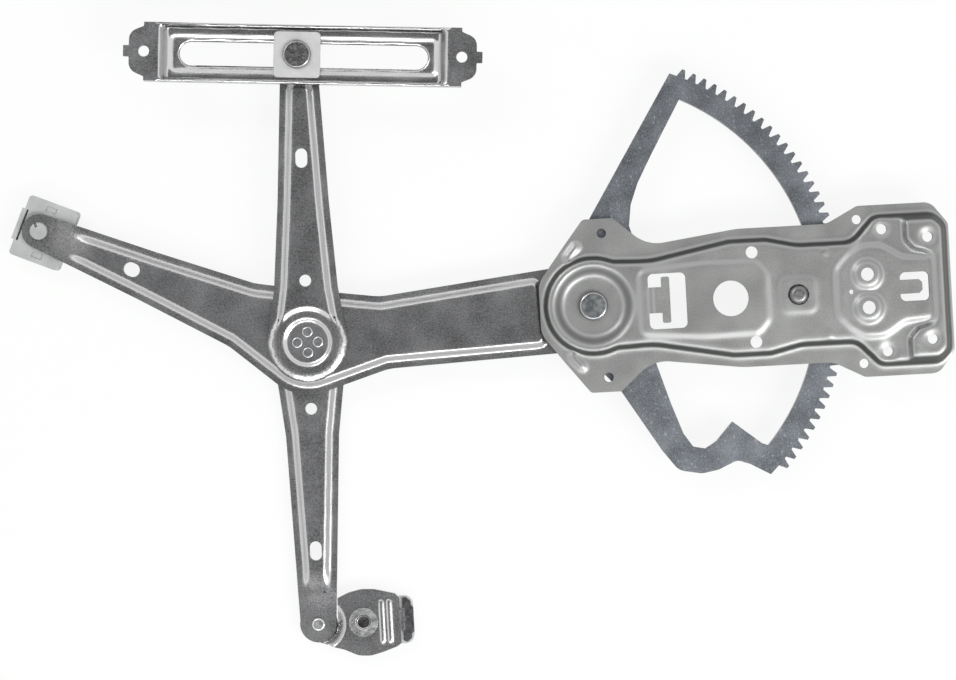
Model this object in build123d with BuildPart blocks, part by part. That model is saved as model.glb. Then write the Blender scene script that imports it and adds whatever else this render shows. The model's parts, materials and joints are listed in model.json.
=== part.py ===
from build123d import *
import os
from math import atan2, cos, degrees, pi, radians, sin, sqrt, tan

# Crossed-arm window regulator for a car door, supplied without its motor.
# A base plate carries a toothed sector and a bent lift arm on one pivot. A cross
# arm of two halves turns on the middle of the lift arm. Its upper end carries a
# slide block in a slotted guide rail and its lower end a glass bracket, and the
# lift arm ends in a plastic glass shoe.
#
# Millimetres. The origin is the centre of the four rivet holes in the base
# plate's flange, on the face that meets the door panel. +X runs along the plate
# to its motor end and +Z points at the cabin. Everything lies flat, as supplied.

# Linkage: lengths from pivot to pivot, angles from the plate's length
half_arm = 156.6
shoe_arm = 159.4
cross_half = 155.2
pivot_offset = 76.0
lift_direction = 184.15
lift_bend = 29.65
cross_direction = 88.75
rail_direction = -4.2
rail_shift = 3.4
shoe_direction = 156.3

# Sheet thicknesses, pressed walls and running gaps
plate_sheet = 1.5
gear_sheet = 3.0
arm_sheet = 2.0
rail_sheet = 1.5
bracket_sheet = 1.5
plate_lean = 32.0
dish_lean = 48.0
arm_lean = 46.0
track_lean = 58.0
face_gap = 0.1
pin_gap = 0.05
arm_gap = 0.5

# Base plate outline and the body pressed up out of its flange
rivet_hole_d = 5.1
rivet_spacing_x = 139.0
rivet_spacing_y = 78.4
plate_left = 29.0
plate_nose = 14.0
plate_shoulder = 30.5
plate_wing = 47.2
plate_waist = 31.2
plate_side = 37.7
plate_end_side = 46.6
plate_right = 119.0
body_rise = 5.0
body_hub_r = 27.5
body_neck = 24.2
body_belly = 32.4
body_throat = 28.5
body_end_side = 41.6
body_right = 118.2
gusset_length = 13.0
gusset_width = 5.0
gusset_rise = 2.2
gusset_angle = 109.0
gusset_turn = 50.0
gusset_stand = 4.0

# Features of the base plate
dish_mouth_r = 22.0
pan_left = -51.5
pan_right = 19.5
pan_half = 20.5
pan_rise = 1.3
motor_pan_left = 55.0
motor_pan_right = 108.0
motor_pan_half = 25.4
motor_pan_rise = 1.8
end_pad_left = 93.0
end_pad_inner = 20.5
end_pad_strip = 107.0
end_pad_rise = 3.0
centre_hole_d = 19.3
centre_hole_x = -1.7
side_hole_d = 6.6
side_hole_x = 11.0
side_hole_spacing = 48.6
motor_hole_d = 5.7
inner_motor_x = 82.0
inner_motor_spacing = 66.2
outer_motor_x = 106.0
outer_motor_spacing = 55.2
dimple_r = 4.6
dimple_depth = 1.5
cone_x = 72.3
cone_spacing = 18.0
cone_base_r = 8.3
cone_rise = 2.2
cone_hole_d = 7.2
small_hole_d = 2.5
small_hole_x = 63.5
half_shear_r = 1.75
half_shear_rise = 0.7
half_shear_x = 50.5
half_shear_spacing = 45.2
cable_window_x = -36.0
cable_window_w = 20.5
cable_window_h = 30.0
cable_tab_stem = 7.0
cable_tab_w = 14.0
cable_tab_head = 4.4
cable_tab_l = 25.0
clip_window_x = 97.8
clip_window_y = 1.2
clip_window_w = 15.8
clip_window_h = 15.6
clip_tab_l = 12.0
clip_tab_w = 7.6
window_r = 3.0
tab_step = 2.5
cable_tab_y = 1.15
stud_x = 35.0
stud_head_r = 5.6
stud_shank_r = 4.0
stud_head_h = 2.4
stud_neck_r = 2.9
stud_pad = 20.0
stud_pad_rise = 0.8

# Main pivot
pivot_shank_r = 6.0
pivot_head_r = 7.95
pivot_head_h = 2.6
pivot_tail_r = 10.0
pivot_tail_h = 1.5
plate_rivet_r = 4.5
pivot_washer_r = 14.0
pivot_washer_h = 0.8
spring_washer_r = 9.5
spring_washer_h = 0.8

# Sector gear: a full circle of these teeth would number 136
gear_module = 2.0
full_circle_teeth = 136
tooth_count = 42
first_tooth = 65.9
pressure_angle = 20.0
rim_width = 11.4
hub_r = 24.7
hub_rivet_count = 4
hub_rivet_circle = 19.0
hub_rivet_angle = 45.0
hub_rivet_r = 2.5
hub_rivet_head_r = 3.9
hub_rivet_head_h = 0.7

# Arms: half widths at distances from the crossing, and their pressed beads
bead_rise = 3.0
bead_inset = 3.8
bead_end = 13.0
bead_end_r = 5.0
lift_cross_r = 28.5
lift_inner_widths = [(0, lift_cross_r), (40, 19.8), (half_arm, 24.0)]
lift_outer_widths = [(0, lift_cross_r), (36, 18.8), (95, 13.8), (shoe_arm, 9.4)]
cross_head_r = 21.7
upper_widths = [(0, cross_head_r), (28, 17.4), (75, 14.0), (cross_half, 9.9)]
lower_widths = [(0, cross_head_r), (22, 18.0), (50, 14.6), (cross_half, 9.8)]
outline_blend = 30.0
lift_bead_stop = 26.6
slot_w = 6.5
slot_l = 10.5
round_hole_d = 6.4
upper_slot_at = 100.0
upper_hole_at = 33.5
lower_hole_at = 36.5
lower_slot_at = 114.5
lift_slot_at = 104.0
lift_slot_l = 9.0
lift_slot_w = 7.5

# Crossing pivot
crown_r = 19.3
crown_depth = 1.5
crown_dish_r = 19.4
crown_dish_lean = 58.0
disc_r = 11.5
bush_r = 12.4
collar_r = 16.0
front_ring_inner_r = 13.9
front_ring_r = 16.9
cross_rivet_count = 4
cross_rivet_circle = 5.6
cross_rivet_angle = cross_direction
cross_rivet_r = 2.0
cross_rivet_head_r = 3.0
cross_rivet_head_h = 0.9
rear_arm_gap = 1.7

# Guide rail, slide block and rail pin
ear_hole_d = 5.9
ear_spacing = 171.2
ear_margin = 8.0
ear_slope = 3.4
ear_shoulder = 13.6
ear_corner_r = 6.0
rail_width = 31.6
ear_rise = 4.5
ramp_outer = 8.2
ramp_inner = 12.2
ear_tab_w = 6.1
ear_tab_l = 3.1
track_mouth = 21.2
track_depth = 1.5
track_start = 12.8
track_corner_r = 3.4
slot_end = 18.4
slot_width = 12.8
slot_side_gap = 0.1
block_size = 25.2
block_corner_r = 2.4
block_sheet = 2.2
block_guide = 22.4
retainer_size = 19.0
retainer_sheet = 1.5
rail_pin_head_r = 7.6
rail_pin_head_h = 1.8
rail_pin_r = 4.0
rail_pin_collar_r = 5.5
rail_pin_collar_h = 3.4
rail_pin_tail_r = 3.0
rail_pin_flush_r = 4.4
rail_pin_flush_h = 0.4

# Glass shoe at the end of the lift arm
shoe_front = 11.9
shoe_back = 16.0
shoe_half = 17.2
shoe_depth = 10.0
shoe_corner_r = 2.0
shoe_floor = 3.0
shoe_pocket_w = 6.2
shoe_pocket_h = 3.4
shoe_pocket_depth = 0.8
shoe_strip_out = 1.5
shoe_peg_r = 4.2
shoe_hook_r = 4.7
shoe_hook_h = 2.4
hook_notch_angle = 110.0
shoe_slit_l = 18.0
shoe_slit_w = 1.2

# Glass bracket at the end of the cross arm
bracket_disc_r = 10.4
bracket_step_r = 15.0
bracket_shoulder = 10.7
bracket_rise = 3.9
bracket_nut_x = 24.8
bracket_end_x = 45.0
bracket_half = 18.2
bracket_end_half = 13.6
bracket_washer_r = 7.0
bracket_washer_h = 0.8
bracket_rivet_r = 3.0
bracket_rivet_head_r = 3.75
bracket_rivet_head_h = 1.4
bracket_tail_r = 5.5
bracket_tail_h = 1.1
nut_flange_r = 8.0
nut_barrel_r = 6.4
nut_front = 0.7
nut_depth = 5.0
nut_hole_r = 3.3
nut_mouth_r = 4.4
nut_mouth_depth = 1.2
rib_x = 35.0
rib_step = 4.2
rib_w = 2.6
rib_l = 24.0
rib_rise = 0.7
roll_r = 1.0
roll_l = 12.0
clip_start = 46.4
clip_end = 52.5
clip_sheet = 1.2
pad_start = 40.5
pad_half = 13.2
pad_sheet = 2.2
pad_corner_r = 5.0

# Points of the linkage
def along(start, angle, distance):
    return (
        start[0] + distance * cos(radians(angle)),
        start[1] + distance * sin(radians(angle)),
    )


pivot = (-pivot_offset, 0.0)
cross = along(pivot, lift_direction, half_arm)
shoe_pin = along(cross, lift_direction - lift_bend, shoe_arm)
rail_pin_at = along(cross, cross_direction, cross_half)
bracket_pin = along(cross, cross_direction + 180, cross_half)
rail_centre = along(rail_pin_at, rail_direction, rail_shift)

# Heights of the layers, from the flange's front face at zero
plate_back = -plate_sheet
body_top = body_rise
inner_pan_top = body_top + pan_rise
motor_pan_top = body_top + motor_pan_rise
end_pad_top = body_top + end_pad_rise
stud_pad_top = body_top + stud_pad_rise
gear_front = plate_back - pivot_washer_h - 2 * face_gap
gear_back = gear_front - gear_sheet
lift_back = gear_back - arm_sheet
lift_web_front = gear_back + bead_rise
upper_back = lift_web_front + arm_gap
upper_front = upper_back + arm_sheet
lower_web_front = lift_back - rear_arm_gap
lower_web_back = lower_web_front - arm_sheet
lower_front = lower_web_front - bead_rise
lower_back = lower_front - arm_sheet
disc_front = lower_back - bracket_washer_h - 2 * face_gap
bracket_front = disc_front + bracket_rise
bracket_back = bracket_front - bracket_sheet
retainer_back = upper_front + rail_pin_collar_h + face_gap
track_back = retainer_back + retainer_sheet + face_gap
track_front = track_back + rail_sheet
rail_front = track_front + track_depth
block_back = rail_front + face_gap
block_front = block_back + block_sheet
pin_head_back = block_front + face_gap
ear_front = rail_front + ear_rise
shoe_top = lift_back - face_gap

# Depth of the tools that cut right through the assembly
reach = 60.0


def level(height, at=(0, 0), turn=0.0):
    # A horizontal plane with its x axis turned from the part's
    return Plane(
        origin=(at[0], at[1], height),
        x_dir=(cos(radians(turn)), sin(radians(turn)), 0),
        z_dir=(0, 0, 1),
    )


def upright(at=(0, 0), turn=0.0):
    # A standing plane through a point: x along the turned axis, y up
    return Plane(
        origin=(at[0], at[1], 0),
        x_dir=(cos(radians(turn)), sin(radians(turn)), 0),
        z_dir=(sin(radians(turn)), -cos(radians(turn)), 0),
    )


def gather(sheet, lean):
    # Sideways offset between the two skins that keeps a leaning wall's thickness
    return sheet * (1 - sin(radians(lean))) / cos(radians(lean))


def press_up(feet, front, rise, sheet, lean, at=(0, 0), turn=0.0):
    # Raise joined panels out of a flat sheet whose front face lies at this height.
    # Each skin is drawn from its narrow top and widens down to its foot.
    narrowing = rise * tan(radians(lean))
    for foot in feet:
        with BuildSketch(level(front + rise, at, turn)) as outer:
            add(foot)
            offset(amount=-narrowing, mode=Mode.REPLACE)
        extrude(outer.sketch, amount=-rise, taper=-lean)
    for foot in feet:
        with BuildSketch(level(front - sheet + rise, at, turn)) as inner:
            add(foot)
            offset(amount=-narrowing - gather(sheet, lean), mode=Mode.REPLACE)
        extrude(inner.sketch, amount=-rise, taper=-lean, mode=Mode.SUBTRACT)


def press_down(mouth, front, depth, sheet, lean, at=(0, 0), turn=0.0):
    # Sink a panel into a flat sheet whose front face lies at this height
    with BuildSketch(level(front - sheet, at, turn)) as under:
        add(mouth)
        offset(amount=gather(sheet, lean), mode=Mode.REPLACE)
    extrude(under.sketch, amount=-depth, taper=lean)
    with BuildSketch(level(front, at, turn)) as over:
        add(mouth)
    extrude(over.sketch, amount=-depth, taper=lean, mode=Mode.SUBTRACT)


def slab(face, back, thickness, at=(0, 0), turn=0.0, mode=Mode.ADD):
    with BuildSketch(level(back, at, turn)) as blank:
        add(face)
    extrude(blank.sketch, amount=thickness, mode=mode)


def cut_through(face, at=(0, 0), turn=0.0):
    slab(face, -reach / 2, reach, at, turn, mode=Mode.SUBTRACT)


def disc(radius, at=(0, 0)):
    with BuildSketch() as round_face:
        with Locations(at):
            Circle(radius)
    return round_face.sketch


def slot(length, width, turn=0.0):
    with BuildSketch() as slot_face:
        SlotOverall(length, width, rotation=turn)
    return slot_face.sketch


def block_face(length, width, radius):
    with BuildSketch() as face:
        RectangleRounded(length, width, radius)
    return face.sketch


def mirrored_face(points, radii):
    # Half outline above the x axis, from its right end to its left, and its mirror
    with BuildSketch() as face:
        with BuildLine():
            FilletPolyline(*points, radius=radii)
            mirror(about=Plane.XZ)
        make_face()
    return face.sketch


def pair(face, x, spacing):
    # The same face twice, at equal distances above and below the x axis
    with BuildSketch() as two:
        with Locations((x, -spacing / 2), (x, spacing / 2)):
            add(face)
    return two.sketch


def ring(inner_r, outer_r, bottom, height, at):
    with BuildSketch(level(bottom, at)) as face:
        Circle(outer_r)
        Circle(inner_r, mode=Mode.SUBTRACT)
    extrude(face.sketch, amount=height)


def cylinder(radius, bottom, top, at):
    slab(disc(radius), bottom, top - bottom, at)


def headed(radius, height, base, at, way=1):
    # Rivet head with a short brim and a sloping rim, facing up or down
    rim = 0.35 * height
    with BuildSketch(upright(at)) as half:
        with BuildLine():
            Polyline(
                (0, base + way * height),
                (0, base),
                (radius, base),
                (radius, base + way * (height - rim)),
                (radius - 1.3 * rim, base + way * height),
                close=True,
            )
        make_face()
    revolve(half.sketch, axis=Axis((at[0], at[1], 0), (0, 0, 1)))


def arm_outline(widths):
    # Flat arm along x, as tangent runs between circles of the given radii
    with BuildSketch() as outline:
        for near, far in zip(widths, widths[1:]):
            with BuildSketch(mode=Mode.PRIVATE) as run:
                for x, radius in (near, far):
                    with Locations((x, 0)):
                        Circle(radius)
                make_hull()
            add(run.sketch)
    return outline.sketch


def bead_foot(outline, start, stop):
    # Foot of a cross arm's pressed bead, between two distances from the crossing
    with BuildSketch() as foot:
        add(outline)
        offset(amount=-bead_inset, mode=Mode.REPLACE)
        with Locations(((start + stop) / 2, 0)):
            Rectangle(stop - start, 4 * bead_end, mode=Mode.INTERSECT)
        fillet(foot.vertices().group_by(Axis.X)[-1], bead_end_r)
    return foot.sketch


# Base plate
plate_outline = mirrored_face(
    [
        (plate_right, 0),
        (plate_right, plate_end_side - 12.0),
        (plate_right - 9.0, plate_end_side),
        (rivet_spacing_x / 2 + 0.5, plate_end_side),
        (rivet_spacing_x / 2 - 16.5, plate_side),
        (side_hole_x - 7.0, plate_side),
        (-pivot_offset + 31.0, plate_waist),
        (-pivot_offset + 13.0, plate_wing),
        (-pivot_offset - 3.5, plate_wing),
        (-pivot_offset - 16.5, plate_shoulder),
        (-pivot_offset - plate_left, plate_nose),
        (-pivot_offset - plate_left, 0),
    ],
    [5, 8, 4, 14, 40, 20, 1, 3, 10, 12],
)
body_foot = mirrored_face(
    [
        (body_right, 0),
        (body_right, body_end_side - 7.0),
        (body_right - 7.0, body_end_side),
        (inner_motor_x - 4.5, body_end_side),
        (inner_motor_x - 17.0, body_throat),
        (stud_x + 1.0, body_throat),
        (side_hole_x + 8.0, body_belly),
        (side_hole_x - 12.0, body_belly),
        (-pivot_offset + 32.0, body_neck),
        (-pivot_offset, body_neck + 1.0),
        (-pivot_offset, 0),
    ],
    [8, 8, 8, 6, 20, 12, 20, 40, 0.5],
)
with BuildSketch() as body_plan:
    add(body_foot)
    with Locations(pivot):
        Circle(body_hub_r)
    offset(amount=8, mode=Mode.REPLACE)
    offset(amount=-8, mode=Mode.REPLACE)

inner_pan = mirrored_face(
    [
        (pan_right, 0),
        (pan_right, pan_half - 8.0),
        (pan_right - 6.0, pan_half - 0.5),
        (cable_window_x + 20.0, pan_half),
        (pan_left, pan_half - 3.0),
        (pan_left, 0),
    ],
    [5, 6, 40, 4],
)
motor_pan = mirrored_face(
    [
        (motor_pan_right, 0),
        (motor_pan_right, end_pad_inner - 3.5),
        (end_pad_left - 1.0, end_pad_inner - 2.5),
        (cone_x + 8.7, motor_pan_half),
        (cone_x - 2.3, motor_pan_half),
        (motor_pan_left + 7.0, 0.8 * motor_pan_half),
        (motor_pan_left, 0.5 * motor_pan_half),
        (motor_pan_left, 0),
    ],
    [2, 8, 12, 8, 8, 8],
)
beside_end_pads = mirrored_face(
    [
        (end_pad_strip, 0),
        (end_pad_strip, end_pad_inner - 4.0),
        (end_pad_strip - 2.5, end_pad_inner - 1.5),
        (end_pad_left + 5.0, end_pad_inner),
        (end_pad_left, end_pad_inner + 5.5),
        (end_pad_left, reach),
        (-2 * reach, reach),
        (-2 * reach, 0),
    ],
    [3, 3, 3, 2, 1, 1],
)


def end_pads(base, inset):
    # The raised end of the body as a solid, drawn in from its outer skin
    with BuildPart() as pads:
        with BuildSketch(level(base)) as crest:
            add(body_plan.sketch)
            offset(amount=-body_rise * tan(radians(plate_lean)) - inset, mode=Mode.REPLACE)
        extrude(crest.sketch, amount=end_pad_rise, taper=plate_lean)
        with BuildSketch(level(base)) as beside:
            add(beside_end_pads)
            if inset:
                offset(amount=inset, mode=Mode.REPLACE)
        extrude(beside.sketch, amount=end_pad_rise, taper=-plate_lean, mode=Mode.SUBTRACT)
    return pads.part


with BuildSketch() as gusset:
    SlotOverall(gusset_length, gusset_width)
gusset_at = along(pivot, gusset_angle, body_hub_r + gusset_stand)

cable_window_left = cable_window_x - cable_window_w / 2
tab_end = cable_window_left + cable_tab_stem + cable_tab_head
tab_back = inner_pan_top - plate_sheet

with BuildPart() as base_plate:
    slab(plate_outline, plate_back, plate_sheet)
    press_up([body_plan.sketch], 0, body_rise, plate_sheet, plate_lean)
    press_down(disc(dish_mouth_r, pivot), body_top, body_rise, plate_sheet, dish_lean)
    press_up([inner_pan], body_top, pan_rise, plate_sheet, plate_lean)
    press_up([motor_pan], body_top, motor_pan_rise, plate_sheet, plate_lean)
    add(end_pads(body_top, 0.0))
    add(end_pads(body_top - plate_sheet, gather(plate_sheet, plate_lean)), mode=Mode.SUBTRACT)
    press_up(
        [block_face(stud_pad, stud_pad, 4.0)], body_top, stud_pad_rise, plate_sheet, plate_lean,
        (stud_x, 0),
    )
    for side in (1, -1):
        press_up(
            [gusset.sketch], 0, gusset_rise, plate_sheet, plate_lean,
            (gusset_at[0], side * gusset_at[1]), side * gusset_turn,
        )
        press_down(
            disc(dimple_r), body_top, dimple_depth, plate_sheet, plate_lean,
            (inner_motor_x, side * inner_motor_spacing / 2),
        )
        press_down(
            disc(dimple_r), end_pad_top, dimple_depth, plate_sheet, plate_lean,
            (outer_motor_x, side * outer_motor_spacing / 2),
        )
        press_up(
            [disc(cone_base_r)], motor_pan_top, cone_rise, plate_sheet, plate_lean,
            (cone_x, side * cone_spacing / 2),
        )
        slab(
            disc(half_shear_r), body_top - plate_sheet / 2, plate_sheet / 2 + half_shear_rise,
            (half_shear_x, side * half_shear_spacing / 2),
        )
    # Window with a raised hook for the motor's cable, shaped like a T
    with BuildSketch() as cable_window:
        with Locations((cable_window_x, 0.5)):
            RectangleRounded(cable_window_w, cable_window_h, window_r)
    cut_through(cable_window.sketch)
    with BuildSketch(upright((0, cable_tab_y))) as stem:
        with BuildLine():
            Polyline(
                (cable_window_left - 1.0, tab_back),
                (cable_window_left + 0.5, tab_back),
                (cable_window_left + 0.5 + tab_step, tab_back + tab_step),
                (tab_end, tab_back + tab_step),
                (tab_end, inner_pan_top + tab_step),
                (cable_window_left - 0.1 + tab_step, inner_pan_top + tab_step),
                (cable_window_left - 0.1, inner_pan_top),
                (cable_window_left - 1.0, inner_pan_top),
                close=True,
            )
        make_face()
    extrude(stem.sketch, amount=cable_tab_w / 2, both=True)
    slab(
        block_face(cable_tab_head, cable_tab_l, 1.0), tab_back + tab_step, plate_sheet,
        (tab_end - cable_tab_head / 2, cable_tab_y),
    )
    # Window with a flat tongue for the motor's connector clip
    with BuildSketch() as clip_window:
        with Locations((clip_window_x, clip_window_y)):
            RectangleRounded(clip_window_w, clip_window_h, window_r)
        with BuildSketch(mode=Mode.PRIVATE) as tongue:
            with Locations((clip_window_x - clip_window_w / 2 - 1.0, clip_window_y)):
                Rectangle(clip_tab_l + 1.0, clip_tab_w, align=(Align.MIN, Align.CENTER))
            chamfer(tongue.vertices().group_by(Axis.X)[-1], 1.8)
        add(tongue.sketch, mode=Mode.SUBTRACT)
    cut_through(clip_window.sketch)
    with BuildSketch() as holes:
        with GridLocations(rivet_spacing_x, rivet_spacing_y, 2, 2):
            Circle(rivet_hole_d / 2)
        with Locations((centre_hole_x, 0)):
            Circle(centre_hole_d / 2)
        with Locations(pivot):
            Circle(plate_rivet_r + pin_gap)
        with Locations((stud_x, 0)):
            Circle(stud_neck_r + pin_gap)
        with Locations((small_hole_x, 0)):
            Circle(small_hole_d / 2)
        add(pair(disc(side_hole_d / 2), side_hole_x, side_hole_spacing))
        add(pair(disc(motor_hole_d / 2), inner_motor_x, inner_motor_spacing))
        add(pair(disc(motor_hole_d / 2), outer_motor_x, outer_motor_spacing))
        add(pair(disc(cone_hole_d / 2), cone_x, cone_spacing))
    cut_through(holes.sketch)
base_plate.part.label = "base_plate"

# Stop that the sector's spokes meet at both ends of the travel
with BuildPart() as stop_stud:
    headed(stud_head_r, stud_head_h, stud_pad_top, (stud_x, 0))
    cylinder(stud_neck_r, stud_pad_top - plate_sheet, stud_pad_top, (stud_x, 0))
    cylinder(stud_shank_r, gear_back - 0.5, stud_pad_top - plate_sheet, (stud_x, 0))
stop_stud.part.label = "stop_stud"

# Main pivot, riveted over in the dish of the base plate
with BuildPart() as main_pivot:
    headed(pivot_head_r, pivot_head_h, 0, pivot)
    cylinder(plate_rivet_r, plate_back, 0, pivot)
    cylinder(pivot_shank_r, lift_back - spring_washer_h - 2 * face_gap, plate_back, pivot)
    headed(pivot_tail_r, pivot_tail_h, lift_back - spring_washer_h - 2 * face_gap, pivot, -1)
main_pivot.part.label = "main_pivot"

with BuildPart() as pivot_washer:
    ring(pivot_shank_r + pin_gap, pivot_washer_r, gear_front + face_gap, pivot_washer_h, pivot)
pivot_washer.part.label = "pivot_washer"

with BuildPart() as spring_washer:
    ring(
        pivot_shank_r + pin_gap, spring_washer_r,
        lift_back - face_gap - spring_washer_h, spring_washer_h, pivot,
    )
spring_washer.part.label = "spring_washer"

# Toothed sector
pitch_r = gear_module * full_circle_teeth / 2
tip_r = pitch_r + gear_module
root_r = pitch_r - 1.25 * gear_module
tooth_pitch = 360 / full_circle_teeth
tooth_half = pi * gear_module / 4
tooth_tip_half = tooth_half - gear_module * tan(radians(pressure_angle))
tooth_root_half = tooth_half + 1.25 * gear_module * tan(radians(pressure_angle))
window_arc_r = root_r - rim_width

with BuildSketch() as sector_blank:
    with BuildLine():
        FilletPolyline(
            (hub_r * cos(radians(148)), hub_r * sin(radians(148))),
            (50.4, 127.6),
            (150, 150),
            (150, -130),
            (103.2, -103.2),
            (81.0, -90.6),
            (74.0, -88.2),
            (63.7, -92.8),
            (54.6, -94.4),
            (42.0, -92.0),
            (33.6, -80.8),
            (12.9, -47.2),
            (-8.0, -23.4),
            (0, 0),
            close=True,
            radius=[0.1, 0.1, 0.1, 0.1, 0.1, 5, 5, 5, 8, 8, 5, 20, 0.5, 0.1],
        )
    make_face()
    Circle(root_r, mode=Mode.INTERSECT)
    Circle(hub_r)
with BuildSketch() as sector_window:
    with BuildLine():
        Polyline(
            (55.0, 113.5),
            (36.0, 80.6),
            (27.9, 65.7),
            (23.5, 54.0),
            (22.0, 42.5),
            (27.0, 25.0),
            (28.0, -20.0),
            (32.6, -32.4),
            (39.5, -55.0),
            (45.5, -72.0),
            (50.5, -79.5),
            (57.0, -80.9),
            (63.0, -77.4),
            (72.5, -67.0),
            (88.0, -79.6),
            (97.0, -83.0),
            (150.0, -90.0),
            (150.0, 140.0),
            close=True,
        )
    make_face()
    Circle(window_arc_r, mode=Mode.INTERSECT)
with BuildPart() as sector_gear:
    slab(sector_blank.sketch, gear_back, gear_sheet, pivot)
    slab(sector_window.sketch, gear_back - 1, gear_sheet + 2, pivot, mode=Mode.SUBTRACT)
    with BuildSketch(level(gear_back, pivot)) as teeth:
        with PolarLocations(
            pitch_r, tooth_count, first_tooth - (tooth_count - 1) * tooth_pitch,
            tooth_count * tooth_pitch,
        ):
            Polygon(
                (-1.25 * gear_module - 0.6, -tooth_root_half),
                (-1.25 * gear_module, -tooth_root_half),
                (gear_module, -tooth_tip_half),
                (gear_module, tooth_tip_half),
                (-1.25 * gear_module, tooth_root_half),
                (-1.25 * gear_module - 0.6, tooth_root_half),
                align=None,
            )
    extrude(teeth.sketch, amount=gear_sheet)
    cut_through(disc(pivot_shank_r + pin_gap), pivot)
    with BuildSketch() as hub_holes:
        with PolarLocations(hub_rivet_circle, hub_rivet_count, hub_rivet_angle):
            Circle(hub_rivet_r + pin_gap)
    cut_through(hub_holes.sketch, pivot)
sector_gear.part.label = "sector_gear"

# Lift arm: one half to the main pivot, the bent half to the shoe
inner_turn = lift_direction - 180
outer_turn = lift_direction - lift_bend
with BuildSketch() as lift_outline:
    with Locations(cross):
        add(arm_outline(lift_inner_widths), rotation=inner_turn)
        add(arm_outline(lift_outer_widths), rotation=outer_turn)
    offset(amount=outline_blend, mode=Mode.REPLACE)
    offset(amount=-outline_blend, mode=Mode.REPLACE)
lift_beads = []
for widths, turn, stop in (
    (lift_inner_widths, inner_turn, half_arm - lift_bead_stop),
    (lift_outer_widths, outer_turn, shoe_arm - bead_end),
):
    with BuildSketch() as lift_bead:
        with Locations(cross):
            add(bead_foot(arm_outline(widths), 0, stop), rotation=turn)
    lift_beads.append(lift_bead.sketch)
with BuildPart() as lift_arm:
    slab(lift_outline.sketch, lift_back, arm_sheet)
    press_up(
        [disc(lift_cross_r - bead_inset, cross), *lift_beads], gear_back, bead_rise, arm_sheet, arm_lean
    )
    cut_through(disc(pivot_shank_r + pin_gap), pivot)
    cut_through(hub_holes.sketch, pivot)
    cut_through(disc(bush_r + pin_gap), cross)
    cut_through(disc(shoe_peg_r + pin_gap), shoe_pin)
    cut_through(slot(lift_slot_l, lift_slot_w), along(cross, outer_turn, lift_slot_at), outer_turn)
lift_arm.part.label = "lift_arm"

with BuildPart() as hub_rivets:
    for index in range(hub_rivet_count):
        at = along(pivot, hub_rivet_angle + 360 / hub_rivet_count * index, hub_rivet_circle)
        cylinder(hub_rivet_r, lift_back, gear_front, at)
        headed(hub_rivet_head_r, hub_rivet_head_h, gear_front, at)
        headed(hub_rivet_head_r, hub_rivet_head_h, lift_back, at, -1)
hub_rivets.part.label = "hub_rivets"

# Cross arm: an upper half in front of the lift arm and a lower half behind it
upper_outline = arm_outline(upper_widths)
lower_outline = arm_outline(lower_widths)
lower_turn = cross_direction - 180
sink = crown_depth * tan(radians(arm_lean))
with BuildSketch() as cross_rivet_holes:
    with PolarLocations(cross_rivet_circle, cross_rivet_count, cross_rivet_angle):
        Circle(cross_rivet_r + pin_gap)

with BuildPart() as upper_arm:
    slab(upper_outline, upper_back, arm_sheet, cross, cross_direction)
    press_up(
        [bead_foot(upper_outline, 0, cross_half - bead_end)],
        upper_front, bead_rise, arm_sheet, arm_lean, cross, cross_direction,
    )
    press_up([disc(crown_r)], upper_front, crown_depth, arm_sheet, arm_lean, cross)
    press_down(
        disc(crown_dish_r), upper_front + bead_rise, bead_rise - crown_depth, arm_sheet,
        crown_dish_lean, cross,
    )
    press_down(
        disc(disc_r + sink), upper_front + crown_depth, crown_depth, arm_sheet, arm_lean, cross
    )
    cut_through(slot(slot_l, slot_w), along(cross, cross_direction, upper_slot_at), cross_direction)
    cut_through(disc(round_hole_d / 2), along(cross, cross_direction, upper_hole_at))
    cut_through(disc(rail_pin_tail_r + pin_gap), rail_pin_at)
    cut_through(cross_rivet_holes.sketch, cross)
upper_arm.part.label = "upper_arm"

with BuildPart() as lower_arm:
    slab(lower_outline, lower_back, arm_sheet, cross, lower_turn)
    press_up(
        [disc(cross_head_r - bead_inset), bead_foot(lower_outline, 0, cross_half - bead_end)],
        lower_front, bead_rise, arm_sheet, arm_lean, cross, lower_turn,
    )
    cut_through(slot(slot_l, slot_w), along(cross, lower_turn, lower_slot_at), lower_turn)
    cut_through(disc(round_hole_d / 2), along(cross, lower_turn, lower_hole_at))
    cut_through(disc(bracket_rivet_r + pin_gap), bracket_pin)
    cut_through(cross_rivet_holes.sketch, cross)
lower_arm.part.label = "lower_arm"

# Bush through the lift arm, with a collar behind it
with BuildPart() as cross_bush:
    cylinder(bush_r, lower_web_front, upper_back, cross)
    cylinder(collar_r, lower_web_front, lift_web_front - arm_sheet - face_gap, cross)
    cut_through(cross_rivet_holes.sketch, cross)
cross_bush.part.label = "cross_bush"

with BuildPart() as cross_ring:
    ring(
        front_ring_inner_r, front_ring_r, lift_web_front + face_gap,
        upper_back + crown_depth - lift_web_front - 2 * face_gap, cross,
    )
cross_ring.part.label = "cross_ring"

with BuildPart() as cross_rivets:
    for index in range(cross_rivet_count):
        turn = cross_rivet_angle + 360 / cross_rivet_count * index
        at = along(cross, turn, cross_rivet_circle)
        cylinder(cross_rivet_r, lower_web_back, upper_front, at)
        headed(cross_rivet_head_r, cross_rivet_head_h, upper_front, at)
        headed(cross_rivet_head_r, cross_rivet_head_h, lower_web_back, at, -1)
cross_rivets.part.label = "cross_rivets"

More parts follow.
